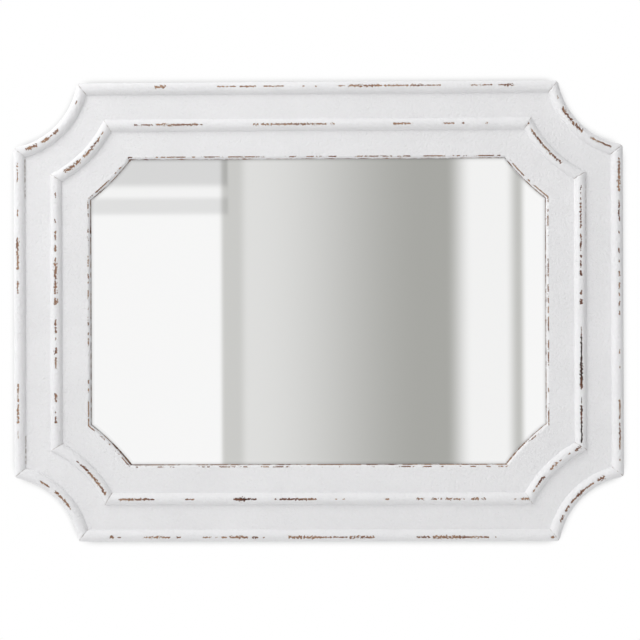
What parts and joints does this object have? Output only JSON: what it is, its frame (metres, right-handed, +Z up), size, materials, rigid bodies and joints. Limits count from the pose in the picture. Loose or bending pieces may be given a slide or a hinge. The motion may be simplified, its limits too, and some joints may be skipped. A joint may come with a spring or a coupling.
{
  "type": "rustic wall mirror",
  "caption": "Landscape wall mirror in a broad distressed white wooden frame with scalloped corners, half-round beads, and swinging ring hangers on the back.",
  "frame": {"origin": "middle of the mirror on the wall plane, which the four bumpers touch", "axes": "+X to the viewer's right, +Y from the front towards the wall, +Z up"},
  "size_m": [0.813, 0.031, 0.613],
  "materials": {
    "frame_paint": "white chalky paint, rubbed through to wood on the edges",
    "bead_paint": "white chalky paint, chipped to wood on the crest",
    "beech": "bare compressed beech",
    "mirror": "silvered float glass",
    "card": "grey-brown card",
    "hardboard": "smooth brown hardboard",
    "brass": "dull brass plate",
    "hanger_steel": "zinc plated",
    "screw_steel": "zinc plated",
    "rubber": "matt black"
  },
  "bodies": {
    "frame": {"left_stile": "frame_paint", "top_rail": "frame_paint", "right_stile": "frame_paint", "bottom_rail": "frame_paint", "outer_bead_left": "bead_paint", "outer_bead_top": "bead_paint", "outer_bead_right": "bead_paint", "outer_bead_bottom": "bead_paint", "outer_bead_bottom_left": "bead_paint", "outer_bead_top_left": "bead_paint", "outer_bead_top_right": "bead_paint", "outer_bead_bottom_right": "bead_paint", "inner_bead_left": "bead_paint", "inner_bead_top": "bead_paint", "inner_bead_right": "bead_paint", "inner_bead_bottom": "bead_paint", "inner_bead_bottom_left": "bead_paint", "inner_bead_top_left": "bead_paint", "inner_bead_top_right": "bead_paint", "inner_bead_bottom_right": "bead_paint", "mitre_biscuits": "beech", "mirror_pane": "mirror", "cushion_sheet": "card", "back_panel": "hardboard", "hanger_strap_left": "hanger_steel", "hanger_strap_top": "hanger_steel", "hanger_strap_right": "hanger_steel", "hanger_strap_bottom": "hanger_steel", "button_screws": "screw_steel", "hanger_screws": "screw_steel", "wall_bumpers": "rubber"},
    "turn_button_left_1": {"turn_button_left_1": "brass"},
    "turn_button_left_2": {"turn_button_left_2": "brass"},
    "turn_button_top_1": {"turn_button_top_1": "brass"},
    "turn_button_top_2": {"turn_button_top_2": "brass"},
    "turn_button_top_3": {"turn_button_top_3": "brass"},
    "turn_button_right_1": {"turn_button_right_1": "brass"},
    "turn_button_right_2": {"turn_button_right_2": "brass"},
    "turn_button_bottom_1": {"turn_button_bottom_1": "brass"},
    "turn_button_bottom_2": {"turn_button_bottom_2": "brass"},
    "turn_button_bottom_3": {"turn_button_bottom_3": "brass"},
    "d_ring_left": {"d_ring_left": "hanger_steel"},
    "d_ring_right": {"d_ring_right": "hanger_steel"},
    "d_ring_top": {"d_ring_top": "hanger_steel"},
    "d_ring_bottom": {"d_ring_bottom": "hanger_steel"}
  },
  "joints": [
    {"name": "turn_button_left_1_pivot", "type": "hinge", "parent": "frame", "child": "turn_button_left_1", "pos_m": [-0.326, -0.007, -0.105], "axis": [0, 1, 0], "continuous": true},
    {"name": "turn_button_left_2_pivot", "type": "hinge", "parent": "frame", "child": "turn_button_left_2", "pos_m": [-0.326, -0.007, 0.105], "axis": [0, 1, 0], "continuous": true},
    {"name": "turn_button_top_1_pivot", "type": "hinge", "parent": "frame", "child": "turn_button_top_1", "pos_m": [-0.22, -0.007, 0.226], "axis": [0, 1, 0], "continuous": true},
    {"name": "turn_button_top_2_pivot", "type": "hinge", "parent": "frame", "child": "turn_button_top_2", "pos_m": [0, -0.007, 0.226], "axis": [0, 1, 0], "continuous": true},
    {"name": "turn_button_top_3_pivot", "type": "hinge", "parent": "frame", "child": "turn_button_top_3", "pos_m": [0.22, -0.007, 0.226], "axis": [0, 1, 0], "continuous": true},
    {"name": "turn_button_right_1_pivot", "type": "hinge", "parent": "frame", "child": "turn_button_right_1", "pos_m": [0.326, -0.007, 0.105], "axis": [0, 1, 0], "continuous": true},
    {"name": "turn_button_right_2_pivot", "type": "hinge", "parent": "frame", "child": "turn_button_right_2", "pos_m": [0.326, -0.007, -0.105], "axis": [0, 1, 0], "continuous": true},
    {"name": "turn_button_bottom_1_pivot", "type": "hinge", "parent": "frame", "child": "turn_button_bottom_1", "pos_m": [0.22, -0.007, -0.226], "axis": [0, 1, 0], "continuous": true},
    {"name": "turn_button_bottom_2_pivot", "type": "hinge", "parent": "frame", "child": "turn_button_bottom_2", "pos_m": [0, -0.007, -0.226], "axis": [0, 1, 0], "continuous": true},
    {"name": "turn_button_bottom_3_pivot", "type": "hinge", "parent": "frame", "child": "turn_button_bottom_3", "pos_m": [-0.22, -0.007, -0.226], "axis": [0, 1, 0], "continuous": true},
    {"name": "d_ring_left_swing", "type": "hinge", "parent": "frame", "child": "d_ring_left", "pos_m": [-0.3615, -0.0034, 0.15], "axis": [1, 0, 0], "range_deg": [0, 180]},
    {"name": "d_ring_right_swing", "type": "hinge", "parent": "frame", "child": "d_ring_right", "pos_m": [0.3615, -0.0034, 0.15], "axis": [1, 0, 0], "range_deg": [0, 180]},
    {"name": "d_ring_top_swing", "type": "hinge", "parent": "frame", "child": "d_ring_top", "pos_m": [-0.2, -0.0034, 0.2615], "axis": [0, 0, 1], "range_deg": [0, 180]},
    {"name": "d_ring_bottom_swing", "type": "hinge", "parent": "frame", "child": "d_ring_bottom", "pos_m": [-0.2, -0.0034, -0.2615], "axis": [0, 0, 1], "range_deg": [0, 180]}
  ]
}
